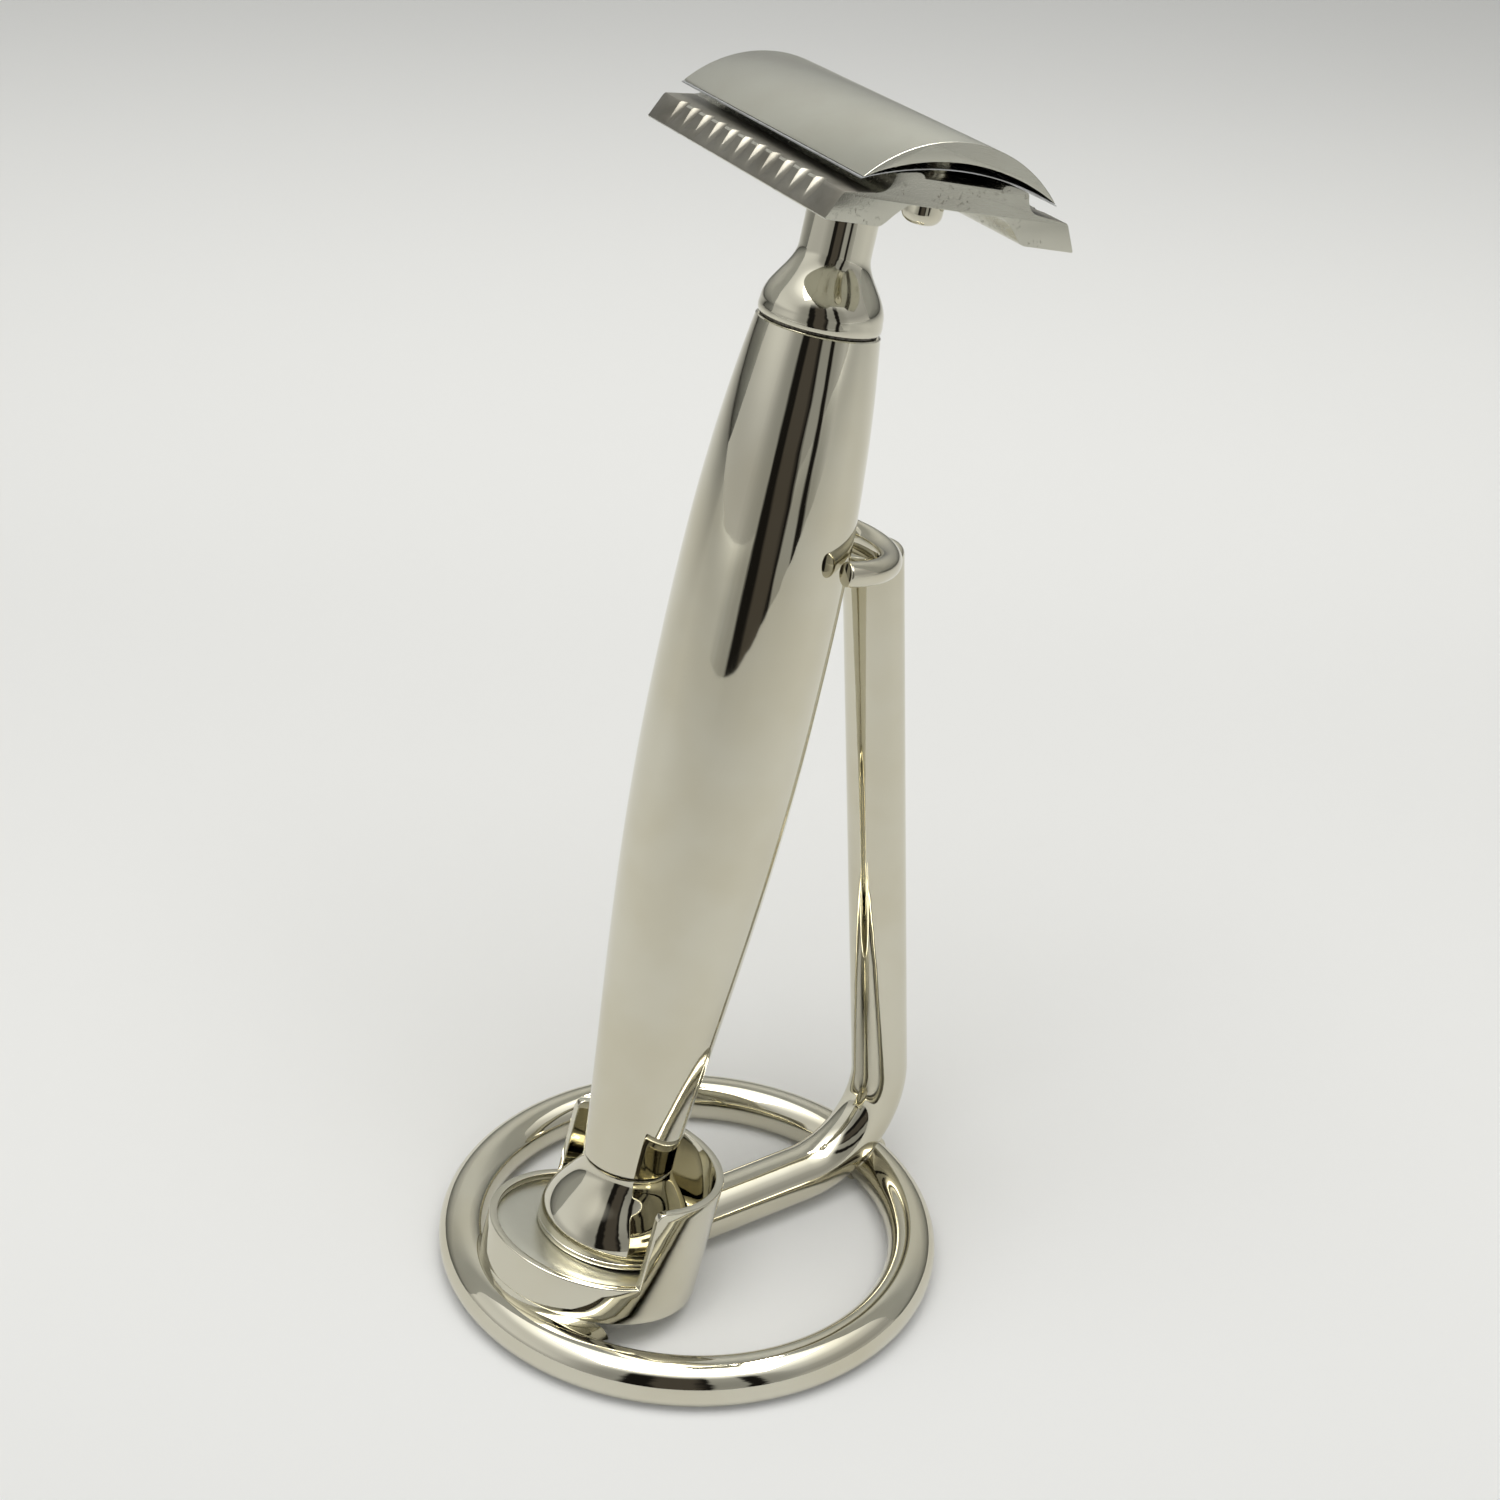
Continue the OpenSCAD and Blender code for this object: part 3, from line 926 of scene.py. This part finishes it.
    def beads(self) -> None:
        """Makes the filler metal that softens the joint of the ring and the rod."""
        for side, name in ((1, "ring_fillet_far"), (-1, "ring_fillet_near")):
            obj = Bench.bead(name, self.joint_line(side, self.rod_r - self.bead_sunk), self.bead_r)
            nodes = ["post_braze"] if side == 1 else []
            plate_stand(obj, self.finishes, nodes, 80)

    def cradle(self, razor: Matrix) -> None:
        """Makes the open wire hook that the handle leans in.

        Args:
            razor: frame of the razor's axis, with its origin on the table.
        """
        Bench.clear()
        start = -self.fork_half
        bpy.ops.mesh.primitive_circle_add(
            vertices=64, radius=self.fork_wire_r * MM, fill_type="NGON",
            location=(self.fork_r * math.cos(start) * MM, self.fork_r * math.sin(start) * MM, 0),
            rotation=(math.pi / 2, 0, start),
        )
        obj = Bench.start("cradle_hook")
        sweep = 2 * self.fork_half
        bpy.ops.mesh.spin(steps=120, angle=sweep, center=(0, 0, 0), axis=(0, 0, -1), dupli=False)
        Bench.seal()
        Bench.soften(obj, 0.28, 4, 60)
        where = razor @ moved(self.fork_shift, 0, self.fork_s)
        Bench.settle(obj, where, self.finishes.mirror, Body.STAND, Slot.POLISHED, ["cradle_fork"])


@dataclass
class FootCup:
    """The tilted cup: a tube that stands tall on one half, and a plate that closes it."""

    finishes: Finishes
    x: float = -15.0
    tilt: float = math.radians(13.6)
    bottom: float = 3.7
    outer_r: float = 12.75
    wall: float = 1.0
    low: float = 4.6
    tall: float = 14.5
    recess: float = 0.7
    turn: float = math.radians(-11)
    corner_r: float = 0.9

    def __post_init__(self) -> None:
        """Works out the cup's frame."""
        self.where = (
            moved(self.x, 0, 0) @ Matrix.Rotation(self.tilt, 4, "Y")
            @ moved(0, 0, self.bottom) @ Matrix.Rotation(self.turn, 4, "Z")
        )

    def tube(self) -> None:
        """Makes the wall: a low ring, of which one half is drawn up, then given its thickness."""
        Bench.clear()
        bpy.ops.mesh.primitive_circle_add(vertices=288, radius=self.outer_r * MM)
        obj = Bench.start("cup_tube")
        for _ in range(4):
            Bench.extrude(0, 0, self.low / 4)
        Bench.pick(obj, "EDGE", lambda middle: middle.x > 0 and middle.z > self.low - 0.01)
        steps = 10
        for _ in range(steps):
            Bench.extrude(0, 0, (self.tall - self.low) / steps)
        bpy.ops.object.mode_set(mode="OBJECT")
        for point in obj.data.vertices:
            along = abs(math.atan2(abs(point.co.y), point.co.x) - math.pi / 2) * self.outer_r
            if point.co.z > (self.tall - 0.01) * MM and along < self.corner_r:
                drop = self.corner_r - math.sqrt(self.corner_r**2 - (self.corner_r - along) ** 2)
                point.co.z -= drop * MM
        bpy.ops.object.mode_set(mode="EDIT")
        bpy.ops.mesh.select_all(action="SELECT")
        bpy.ops.mesh.normals_make_consistent(inside=False)
        bpy.ops.object.mode_set(mode="OBJECT")
        face = obj.data.polygons[0]
        inward = -1.0 if face.normal.dot(face.center) > 0 else 1.0
        Bench.modify(obj, "SOLIDIFY", thickness=self.wall * MM, offset=inward, use_even_offset=True)
        Bench.soften(obj, 0.16, 3, 50)
        Bench.settle(obj, self.where, self.finishes.mirror, Body.STAND, Slot.POLISHED, ["cup_wall"])

    def plate(self) -> None:
        """Makes the plate that closes the tube and carries the razor."""
        edge = self.outer_r - self.wall
        top = self.low - self.recess
        rim = [(edge - 0.1, 0), (edge, 0.1), (edge, top - 0.12), (edge - 0.04, top - 0.04)]
        upper = [(edge - 0.12, top), (edge * 0.8, top), (edge * 0.5, top), (edge * 0.2, top), (0, top)]
        obj = Bench.turned("cup_plate", [(0, 0), (edge * 0.5, 0)] + rim + upper, 192)
        Bench.settle(obj, self.where, self.finishes.cup_floor, Body.STAND, Slot.SATIN, ["cup_floor"])


# ---------------------------------------------------------------- the razor


@dataclass
class Handle:
    """The bell foot, the barrel, the collar and the washers between them."""

    finishes: Finishes
    x: float = -12.3
    lean: float = math.radians(10.9)
    foot: float = 7.4
    bell_h: float = 9.6
    bell_r: float = 8.9
    neck_r: float = 5.2
    seam: float = 0.3
    barrel_h: float = 99.0
    barrel_foot: float = 5.35
    barrel_wide: float = 9.05
    barrel_top: float = 6.5
    widest: float = 58.0
    collar_h: float = 14.9
    collar_r: float = 6.5
    collar_neck: float = 3.75
    shoulder_h: float = 1.2
    shoulder_rise: float = 6.2

    def __post_init__(self) -> None:
        """Works out the razor's frames and the height of each piece on its axis."""
        self.axis = moved(self.x, 0, 0) @ Matrix.Rotation(self.lean, 4, "Y")
        self.where = self.axis @ moved(0, 0, self.foot)
        self.barrel_z = self.bell_h + self.seam
        self.barrel_end = self.barrel_z + self.barrel_h
        self.collar_z = self.barrel_end + self.seam
        self.end = self.collar_z + self.collar_h

    def fit(self, obj: bpy.types.Object, nodes: Sequence[str]) -> None:
        """Puts a polished piece in its place on the razor, for the CAD nodes that it replaces."""
        Bench.settle(obj, self.where, self.finishes.handle, Body.HANDLE, Slot.POLISHED, nodes)

    def bell(self) -> None:
        """Makes the flared foot with its thin rim band and its hollow below."""
        rise = []
        steps = 40
        for step in range(steps + 1):
            share = step / steps
            wide = self.neck_r + (self.bell_r - self.neck_r) * half_cosine(share**1.15)
            rise.append((wide, 0.95 + (self.bell_h - 1.1) * share))
        rim = [(7.3, 2.6), (7.3, 0.3), (7.45, 0.05), (7.6, 0.0), (8.6, 0.0), (8.78, 0.04), (8.88, 0.14),
               (8.92, 0.3), (8.92, 0.62), (8.88, 0.72), (8.8, 0.77), (8.76, 0.82), (8.8, 0.88)]
        inside = [(0, 2.6), (2.0, 2.6), (4.5, 2.6), (4.5, 0.1), (4.6, 0), (5.5, 0), (5.6, 0.1), (5.6, 2.6)]
        neck, high = self.neck_r, self.bell_h
        top = [(neck - 0.04, high - 0.05), (neck - 0.12, high), (2.5, high), (0, high)]
        obj = Bench.turned("bell_foot_smooth", inside + rim + rise + top, 192)
        self.fit(obj, ["bell_foot"])

    def barrel_radius(self, height: float) -> float:
        """Returns the barrel's radius at a height above its lower end, in millimetres."""
        if height < self.widest:
            swell = math.sin(math.pi / 2 * height / self.widest) ** 1.2
            return self.barrel_foot + (self.barrel_wide - self.barrel_foot) * swell
        share = (height - self.widest) / (self.barrel_h - self.widest)
        return self.barrel_wide - (self.barrel_wide - self.barrel_top) * share**2.6

    def barrel(self) -> None:
        """Makes the long swelling barrel."""
        steps = 96
        side = []
        for step in range(steps + 1):
            height = 0.12 + (self.barrel_h - 0.24) * step / steps
            side.append((self.barrel_radius(height), self.barrel_z + height))
        foot = [(0, self.barrel_z), (3.0, self.barrel_z), (self.barrel_foot - 0.12, self.barrel_z)]
        end = [(self.barrel_top - 0.12, self.barrel_end), (3.0, self.barrel_end), (0, self.barrel_end)]
        obj = Bench.turned("barrel", foot + side + end, 224)
        self.fit(obj, ["handle_barrel"])

    def collar(self) -> None:
        """Makes the rounded shoulder that sweeps in to the neck."""
        base, end, steps = self.collar_z, self.end, 30
        wide, neck = self.collar_r, self.collar_neck
        foot = [(0, base), (3.0, base), (wide - 0.3, base), (wide - 0.14, base + 0.06),
                (wide - 0.06, base + 0.2), (wide - 0.02, base + 0.5), (wide - 0.04, base + 0.85)]
        side = []
        for step in range(steps + 1):
            share = step / steps
            radius = neck + (wide - 0.1 - neck) * half_cosine(share)
            side.append((radius, base + self.shoulder_h + self.shoulder_rise * share))
        bore = 2.54
        top = [(neck, end - 4), (neck, end - 0.1), (neck - 0.1, end), (bore, end), (bore, end - 8),
               (0, end - 8)]
        obj = Bench.turned("collar", foot + side + top, 192)
        self.fit(obj, ["top_collar"])

    def washer(self, name: str, node: str, outer: float, base: float) -> None:
        """Makes one thin seam washer with rounded edges.

        Args:
            name: name of the washer.
            node: the CAD node that it stands for.
            outer: its outer radius.
            base: height of its lower face above the foot.
        """
        lip, inner = 0.08, 2.6
        top = base + self.seam
        edge = [(outer - lip, base), (outer, base + lip), (outer, top - lip), (outer - lip, top)]
        obj = Bench.turned(name, [(inner, base)] + edge + [(inner, top), (inner, base)], 160)
        Bench.settle(obj, self.where, self.finishes.seam, Body.HANDLE, Slot.SEAM, [node])

    def foot_parts(self) -> None:
        """Makes the plug and gives the hidden nut and rod their finish."""
        outline = [(0, 0.25), (2.6, 0.2), (3.2, 0.02), (3.5, 0), (4.25, 0), (4.38, 0.12), (4.38, 0.8),
                   (0, 0.8)]
        obj = Bench.turned("plug", outline, 128)
        Bench.settle(obj, self.where, self.finishes.plug, Body.HANDLE, Slot.PLUG, ["foot_plug"])
        for node in ("tie_rod", "lock_nut"):
            wear(node, self.finishes.brass)


@dataclass
class Head:
    """The guard with its scalloped rails, the blade, and the arched cap on its stud and pins."""

    finishes: Finishes
    handle: Handle
    turn: float = math.radians(-11.8)
    seat: float = 0.6
    guard_l: float = 42.9
    guard_w: float = 27.0
    cap_l: float = 42.5
    cap_w: float = 20.8
    cap_r: float = 14.4
    under_r: float = 23.0
    edge_h: float = 4.25
    stud_r: float = 2.5
    pin_r: float = 2.0
    pin_y: float = 15.1
    scallops: int = 11
    pitch: float = 3.25
    scallop_r: float = 1.15
    scallop_lean: float = math.radians(39)
    scallop_out: float = 1.6
    scallop_h: float = 5.5
    room: float = 0.1
    pin_edge_r: float = 1.2
    pin_down: float = 0.4

    def __post_init__(self) -> None:
        """Works out the head's frame: x across the guard, y along it, z from its underside."""
        lift = moved(0, 0, self.handle.end - self.seat)
        self.where = self.handle.where @ lift @ Matrix.Rotation(self.turn, 4, "Z")
        self.under_h = self.edge_h + self.under_r - math.sqrt(self.under_r**2 - (self.cap_w / 2) ** 2)

    def guard_outline(self) -> Outline:
        """Returns the guard's cross-section, clockwise from the recess."""
        ridge = [(4.15, 4.88), (4.35, 5.18), (4.7, 5.34), (5.2, 5.34), (6.0, 5.2), (6.75, 5.06),
                 (7.05, 4.95), (7.2, 4.7), (7.32, 4.2), (7.55, 3.7), (7.9, 3.34)]
        rail = [(8.3, 3.12), (8.8, 3.01), (12.0, 2.68), (12.22, 2.48), (13.46, 0.12), (13.4, 0.0)]
        under = [(7.95, 0.0), (7.6, 0.1), (7.2, 0.45), (6.5, 1.2), (5.8, 1.85), (5.35, 2.2), (4.95, 2.35)]
        right = ridge + rail + under
        left = [(-x, z) for x, z in reversed(right)]
        return right + left

    def cutters(self) -> bpy.types.Object:
        """Returns the round cutters of all the scallops, which run out towards the rail's foot."""
        wide, high = self.scallop_r, self.scallop_h
        obj = Bench.turned("scallop_cutter", [(0, 0), (wide, 0), (wide, high), (0, high)], 48)
        places = []
        for side in (-1, 1):
            for index in range(self.scallops):
                along = (index - (self.scallops - 1) / 2) * self.pitch
                foot = moved(side * (self.guard_w / 2 + self.scallop_out), along, 0)
                places.append(foot @ Matrix.Rotation(-side * self.scallop_lean, 4, "Y"))
        return Bench.copies(obj, places)

    def in_groove(self, point: Vector) -> bool:
        """Returns whether a point of the guard lies on the wall of a scallop."""
        axis_x = self.guard_w / 2 + self.scallop_out - math.tan(self.scallop_lean) * point.z
        off_x = (abs(point.x) - axis_x) * math.cos(self.scallop_lean)
        off_y = (point.y / self.pitch + 0.5) % 1.0 * self.pitch - self.pitch / 2
        return abs(point.x) > 10.5 and math.hypot(off_x, off_y) < self.scallop_r + 0.03

    def holes(self) -> bpy.types.Object:
        """Returns the drills for the stud and the two pins as one object."""
        obj = Bench.turned("drill", [(0, -1), (1, -1), (1, 9), (0, 9)], 64)
        places = []
        for along, radius in ((0.0, self.stud_r), (-self.pin_y, self.pin_r), (self.pin_y, self.pin_r)):
            wide = radius + self.room
            places.append(moved(0, along, 0) @ Matrix.Diagonal((wide, wide, 1, 1)))
        return Bench.copies(obj, places)

    def guard(self) -> None:
        """Makes the guard: a cast profile with a seat for the collar, scallops and holes."""
        obj = Bench.slab("guard", self.guard_outline(), self.guard_l)
        boss = [(0, self.seat), (3.9, self.seat), (4.1, 0.7), (4.15, 0.9), (4.15, 1.9), (4.35, 2.3),
                (4.8, 3.2), (0, 3.2)]
        seat = Bench.turned("guard_seat", boss, 96)
        Bench.combine(obj, seat, "UNION")
        Bench.combine(obj, self.cutters(), "DIFFERENCE")
        Bench.combine(obj, self.holes(), "DIFFERENCE")
        Bench.soften(obj, 0.07, 2, 35)
        # the scallop walls take the darker groove finish: painted shade in the grooves
        dull = [face.index for face in obj.data.polygons if self.in_groove(face.center / MM)]
        Bench.settle(obj, self.where, self.finishes.guard, Body.GUARD, Slot.SATIN, ["guard_plate"], 30)
        obj.data.materials.append(self.finishes.shaded_groove)
        for index in dull:
            obj.data.polygons[index].material_index = 1

    def cap(self) -> None:
        """Makes the cap: an arch over a flatter hollow, with sharp long edges and softened ends."""
        half = self.cap_w / 2
        top = arc(self.cap_r, half, self.edge_h, 56)
        below = arc(self.under_r, half, self.edge_h, 40)
        obj = Bench.slab("cap", top + list(reversed(below[1:-1])), self.cap_l)
        Bench.soften(obj, 0.16, 3, 62)
        Bench.settle(obj, self.where, self.finishes.cap, Body.CAP, Slot.SATIN, ["cap_plate"], 35)

    def stud_and_pins(self) -> None:
        """Makes the stud and the two locating pins with softened ends."""
        top = self.under_h + 0.9
        wide = self.stud_r
        side = [(wide - 0.5, -9), (wide, -8.5), (wide, -4), (wide, 0), (wide, top)]
        obj = Bench.turned("stud", [(0, -9)] + side + [(0, top)], 96)
        Bench.settle(obj, self.where, self.finishes.mirror, Body.CAP, Slot.POLISHED, ["cap_stud"])
        edge, steps = self.pin_edge_r, 8
        outline = [(0, -self.pin_down)]
        for step in range(steps + 1):
            angle = math.pi / 2 * step / steps
            wide = self.pin_r - edge * (1 - math.sin(angle))
            outline.append((wide, edge - self.pin_down - edge * math.cos(angle)))
        top = self.under_h + 0.5
        outline += [(self.pin_r, 3.0), (self.pin_r, top), (0, top)]
        places = [self.where @ moved(0, side * self.pin_y, 0) for side in (-1, 1)]
        pins = Bench.copies(Bench.turned("pins", outline, 96), places)
        Bench.dress(pins, self.finishes.mirror, Body.CAP, Slot.POLISHED, ["cap_pins"])

    def blade(self) -> None:
        """Gives the blade its finish."""
        wear("blade", self.finishes.blade)


def wear(node: str, finish: bpy.types.Material) -> None:
    """Gives a CAD node that keeps its shape a better finish.

    Args:
        node: name of the CAD node.
        finish: its material.
    """
    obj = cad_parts[node]
    for slot in obj.material_slots:
        slot.material = finish
    LOG.info("%s keeps its shape and takes the finish %s", node, finish.name)


# ---------------------------------------------------------------- studio


@dataclass
class Studio:
    """The sweep, the lights, the surroundings and the camera."""

    eye: Tuple[float, float, float] = (-146.9, -199.8, 199.5)
    forward: Tuple[float, float, float] = (0.5336, 0.7038, -0.4690)
    upward: Tuple[float, float, float] = (0.2300, 0.4128, 0.8813)
    lens: float = 62.4
    half_width: float = 5000.0
    sweep_y: float = 1250.0
    sweep_r: float = 520.0
    reflection_card_size: Tuple[float, float] = (1300.0, 750.0)
    reflection_card_away: float = 430.0
    sky: Tuple[Tuple[float, float, float], ...] = (
        (0.0, 0.80, 0.78), (0.5, 0.60, 0.585), (0.61, 0.42, 0.41), (0.74, 0.50, 0.49), (0.87, 0.95, 0.93),
        (1.0, 2.5, 2.44),
    )

    def sweep(self) -> None:
        """Makes the seamless floor that curves up behind the object."""
        Bench.clear()
        bpy.ops.mesh.primitive_plane_add(size=1)
        obj = bpy.context.object
        for corner in obj.data.vertices:
            far = self.sweep_y if corner.co.y > 0 else -self.half_width
            corner.co = (math.copysign(self.half_width, corner.co.x) * MM, far * MM, 0)
        Bench.start("sweep")
        Bench.pick(obj, "EDGE", lambda middle: middle.y > self.sweep_y - 50)
        middle = (0, self.sweep_y * MM, self.sweep_r * MM)
        bpy.ops.mesh.spin(steps=28, angle=math.radians(84), center=middle, axis=(1, 0, 0), dupli=False)
        Bench.extrude(0, 120, 1500)
        bpy.ops.object.mode_set(mode="OBJECT")
        Bench.place(obj, Matrix.Rotation(math.radians(-37.17), 4, "Z"))
        obj.data.materials.append(PaleSweep().build())
        bpy.ops.object.shade_smooth()

    def lamp(
        self, name: str, spot: Sequence[float], aim: Sequence[float], size: Sequence[float], power: float
    ) -> None:
        """Adds one softbox.

        Args:
            name: name of the light.
            spot: its place in millimetres.
            aim: the point that it faces, in millimetres.
            size: its width and height in millimetres.
            power: its power in watts.
        """
        data = bpy.data.lights.new(name, "AREA")
        data.shape = "RECTANGLE"
        data.size, data.size_y = size[0] * MM, size[1] * MM
        data.energy = power
        data.color = (1.0, 0.985, 0.955)
        obj = bpy.data.objects.new(name, data)
        bpy.context.collection.objects.link(obj)
        obj.location = Vector(spot) * MM
        obj.rotation_euler = (Vector(aim) - Vector(spot)).to_track_quat("-Z", "Y").to_euler()

    def surroundings(self) -> None:
        """Makes the pale room: grey above the horizon, bright overhead, with a pale pane to the left."""
        world = bpy.data.worlds.new("room")
        bpy.context.scene.world = world
        world.use_nodes = True
        s = Shader(world.node_tree)
        way = s.node("ShaderNodeTexCoord", output="Generated")
        height = s.part(way, "Z")
        stops = [(place, (pale, pale, blue, 1)) for place, pale, blue in self.sky]
        sky = s.node("ShaderNodeValToRGB", {"stops": stops}, {0: height * 0.5 + 0.5})
        left = s.along(way, LEFTWARD)
        pane = left.band(0.45, 0.95) * height.band(0.02, 0.25) * (1.0 - height.band(0.55, 0.8))
        room = s.blend(pane, sky, (0.88, 0.88, 0.86, 1))
        glow = s.node("ShaderNodeBackground", feeds={"Color": room, "Strength": 0.94})
        s.node("ShaderNodeOutputWorld", feeds={"Surface": glow})

    def reflection_card(self) -> None:
        """Stands a glowing card in front, whose painted reflection only shows in the polished metal."""
        Bench.clear()
        bpy.ops.mesh.primitive_plane_add(size=1, rotation=(math.pi / 2, 0, 0))
        obj = bpy.context.object
        wide, high = self.reflection_card_size
        obj.scale = (wide * MM, high * MM, 1.0)
        obj.location = (0, 0, high / 2 * MM)
        Bench.start("painted_reflection_card")
        bpy.ops.object.mode_set(mode="OBJECT")
        obj.data.materials.append(PaintedReflectionCard().build())
        turn = Matrix.Rotation(math.radians(-36.4), 4, "Z")
        obj.matrix_world = turn @ moved(0, -self.reflection_card_away, 0)
        obj.visible_camera = False
        obj.visible_diffuse = False
        obj.visible_shadow = False

    def camera(self) -> None:
        """Makes the camera."""
        data = bpy.data.cameras.new("camera")
        data.lens = self.lens
        data.sensor_width = 36.0
        data.clip_start, data.clip_end = 0.01, 20.0
        obj = bpy.data.objects.new("camera", data)
        bpy.context.collection.objects.link(obj)
        back = -Vector(self.forward).normalized()
        right = Vector(self.forward).cross(Vector(self.upward)).normalized()
        upward = back.cross(right)
        turn = Matrix((right, upward, back)).transposed().to_4x4()
        obj.matrix_world = Matrix.Translation(Vector(self.eye) * MM) @ turn
        bpy.context.scene.camera = obj

    def build(self) -> None:
        """Makes the whole studio."""
        self.sweep()
        self.surroundings()
        self.reflection_card()
        self.lamp("overhead", (-60, -90, 900), (0, 0, 40), (900, 700), 9.6)
        self.lamp("strip", (90, 60, 620), (0, 0, 30), (36, 420), 2.2)
        self.camera()
        bpy.context.scene.view_settings.view_transform = "Standard"
        LOG.info("studio ready")


def main() -> None:
    """Builds every piece in order."""
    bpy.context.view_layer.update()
    finishes = Finishes()
    stand = WireStand(finishes)
    cup = FootCup(finishes)
    handle = Handle(finishes)
    head = Head(finishes, handle)
    Studio().build()
    stand.ring()
    stand.rod()
    stand.beads()
    stand.cradle(handle.axis)
    cup.tube()
    cup.plate()
    wear("cup_braze", finishes.mirror)
    handle.bell()
    handle.barrel()
    handle.collar()
    handle.washer("foot_washer", "foot_seam_ring", 4.95, handle.bell_h)
    handle.washer("top_washer", "top_seam_ring", 6.1, handle.barrel_end)
    handle.foot_parts()
    head.guard()
    head.blade()
    head.cap()
    head.stud_and_pins()
    Bench.clear()
    LOG.info("sizes written")


if __name__ == "__main__":
    main()
